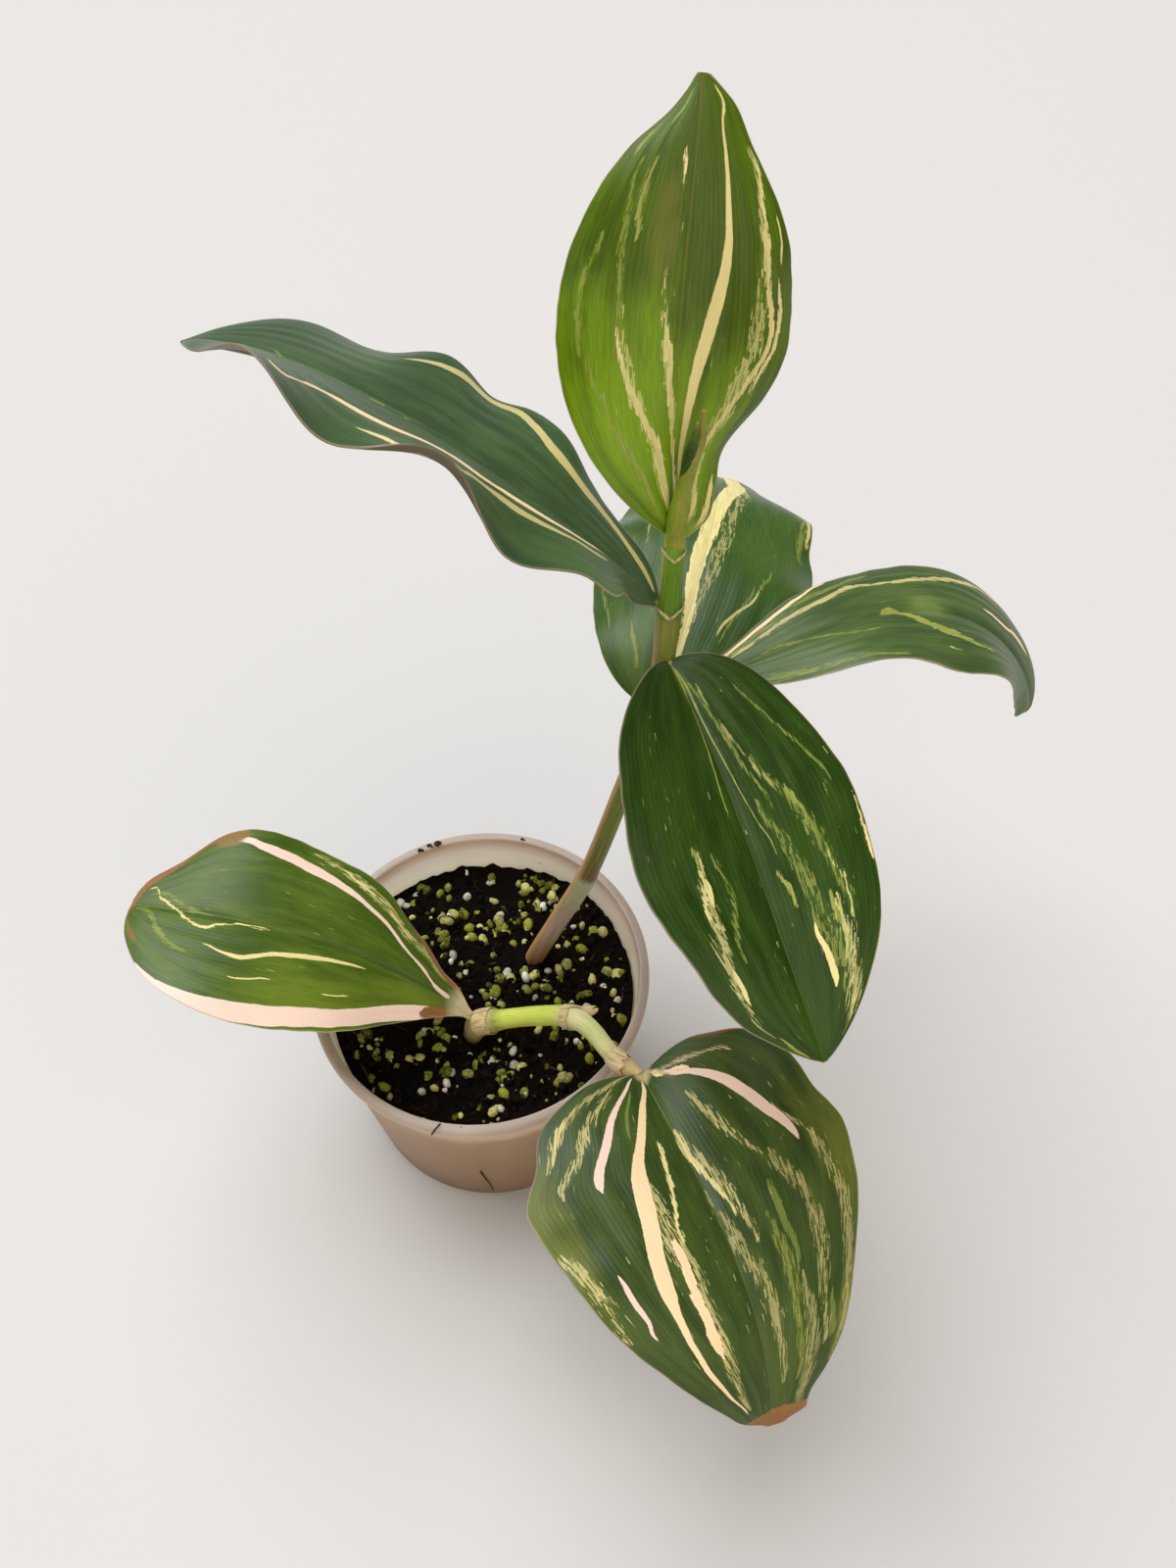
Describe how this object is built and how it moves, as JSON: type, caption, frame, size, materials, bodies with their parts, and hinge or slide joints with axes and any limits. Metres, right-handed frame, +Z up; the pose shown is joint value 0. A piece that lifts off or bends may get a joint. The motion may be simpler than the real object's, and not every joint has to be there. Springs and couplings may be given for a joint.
{
  "type": "potted variegated spiral ginger",
  "caption": "Young variegated spiral ginger in a frosted nursery pot: leaning canes with broad, cream-striped leaves set in a spiral, in dark potting mix.",
  "frame": {"origin": "centre of the pot's flat underside, on the surface that it stands on", "axes": "+Z up, +X the way the tall cane leans, -Y towards the leaf that hangs over the pot's front"},
  "size_m": [0.2214, 0.2225, 0.2568],
  "materials": {
    "pot_plastic": "frosted translucent moulded polypropylene",
    "potting_mix": "damp black peat with pale, olive and grey granules",
    "cane": "smooth living stem, reddish brown at its foot, with papery sheaths",
    "young_leaf": "thin fresh yellow-green leaf with cream streaks, satin",
    "mature_leaf": "dark green leaf with cream and pink stripes, silky sheen"
  },
  "bodies": {
    "root": {"pot": "pot_plastic", "soil": "potting_mix", "tall_cane": "cane", "short_cane": "cane", "leaf_spear": "young_leaf", "leaf_crown": "young_leaf", "leaf_far_left": "mature_leaf", "leaf_back": "mature_leaf", "leaf_right": "mature_leaf", "leaf_front": "mature_leaf", "leaf_low_left": "mature_leaf", "leaf_low_front": "mature_leaf"}
  },
  "joints": []
}
